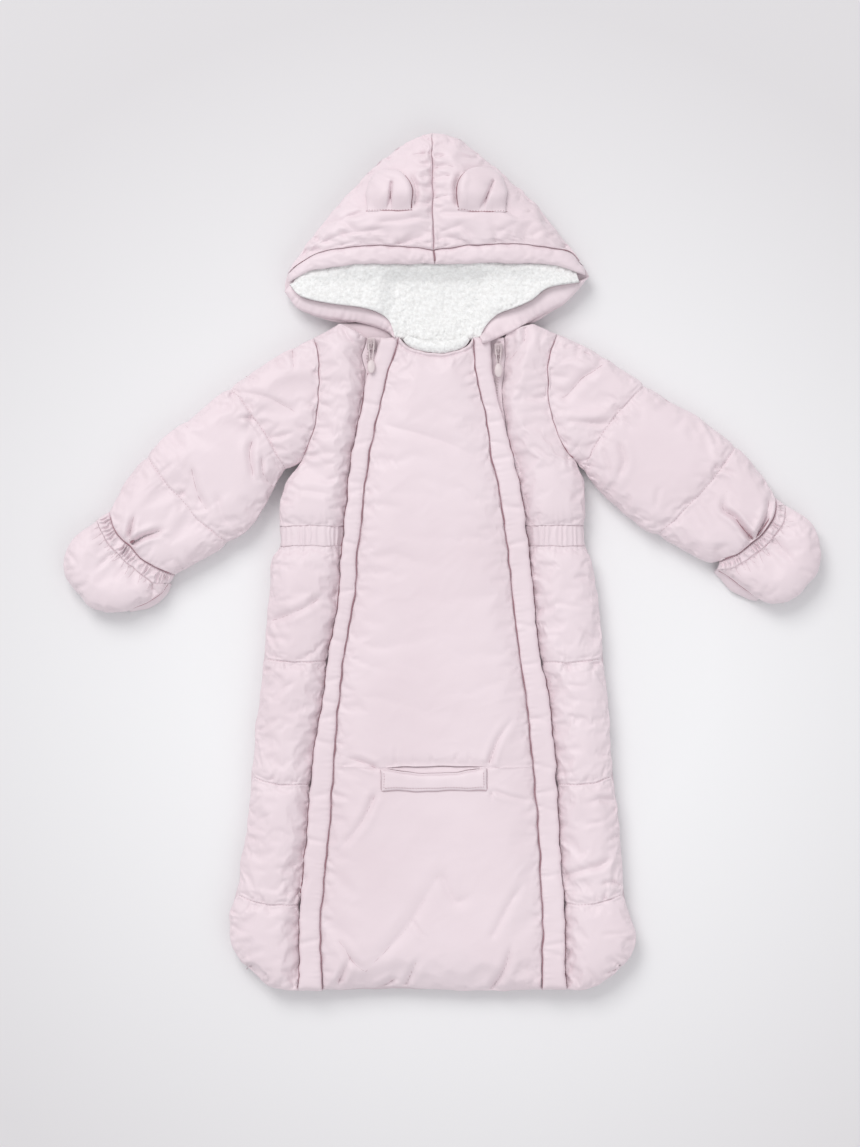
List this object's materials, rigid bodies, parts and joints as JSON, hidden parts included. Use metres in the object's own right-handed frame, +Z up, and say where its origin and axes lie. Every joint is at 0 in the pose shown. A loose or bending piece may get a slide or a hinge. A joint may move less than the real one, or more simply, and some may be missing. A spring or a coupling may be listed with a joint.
{
  "type": "baby bunting bag",
  "caption": "Padded baby bunting bag lying flat on its back, with two front zips, sleeves with mittens, and a fleece-lined hood with round ears.",
  "frame": {"origin": "on the flat underside of the back panel, on the centre line, level with the middle of the length", "axes": "+Y from the foot to the tip of the hood, +X to the right of the front as it is seen, +Z up from the surface it lies on"},
  "size_m": [0.698, 0.7897, 0.0516],
  "materials": {
    "quilted_cloth": "smooth matt taffeta over padding",
    "trim_cloth": "the same taffeta, gathered or folded",
    "fleece": "curly white pile",
    "slider": "painted to match the cloth",
    "grip": "soft moulded grip on a cord"
  },
  "bodies": {
    "bag": {"back": "quilted_cloth", "front_centre": "quilted_cloth", "slot_facing": "quilted_cloth", "slot_welt": "trim_cloth", "front_upper_left": "quilted_cloth", "front_upper_right": "quilted_cloth", "front_lower_left": "quilted_cloth", "front_lower_right": "quilted_cloth", "guard_left": "quilted_cloth", "guard_right": "quilted_cloth", "sleeve_left": "quilted_cloth", "sleeve_right": "quilted_cloth", "mitten_left": "quilted_cloth", "mitten_right": "quilted_cloth", "gusset_left": "quilted_cloth", "gusset_right": "quilted_cloth", "hood_front_left": "quilted_cloth", "hood_front_right": "quilted_cloth", "hood_back_left": "quilted_cloth", "hood_back_right": "quilted_cloth", "ear_left": "quilted_cloth", "ear_right": "quilted_cloth", "waist_elastic_left": "trim_cloth", "waist_elastic_right": "trim_cloth", "zip_left": "trim_cloth", "zip_right": "trim_cloth", "cuff_left": "trim_cloth", "cuff_right": "trim_cloth", "hood_brim_left": "trim_cloth", "hood_brim_right": "trim_cloth", "hood_band_left": "trim_cloth", "hood_band_right": "trim_cloth", "hood_lining": "fleece", "neck_roll": "fleece", "slider_left": "slider", "slider_right": "slider"},
    "pull_left": {"pull_left": "grip"},
    "pull_right": {"pull_right": "grip"}
  },
  "joints": [
    {"name": "pull_left_hinge", "type": "hinge", "parent": "bag", "child": "pull_left", "pos_m": [-0.0558, 0.211, 0.02632], "axis": [-1, 0, 0], "range_deg": [0, 120]},
    {"name": "pull_right_hinge", "type": "hinge", "parent": "bag", "child": "pull_right", "pos_m": [0.061, 0.206, 0.02643], "axis": [-1, 0, 0], "range_deg": [0, 120]}
  ]
}
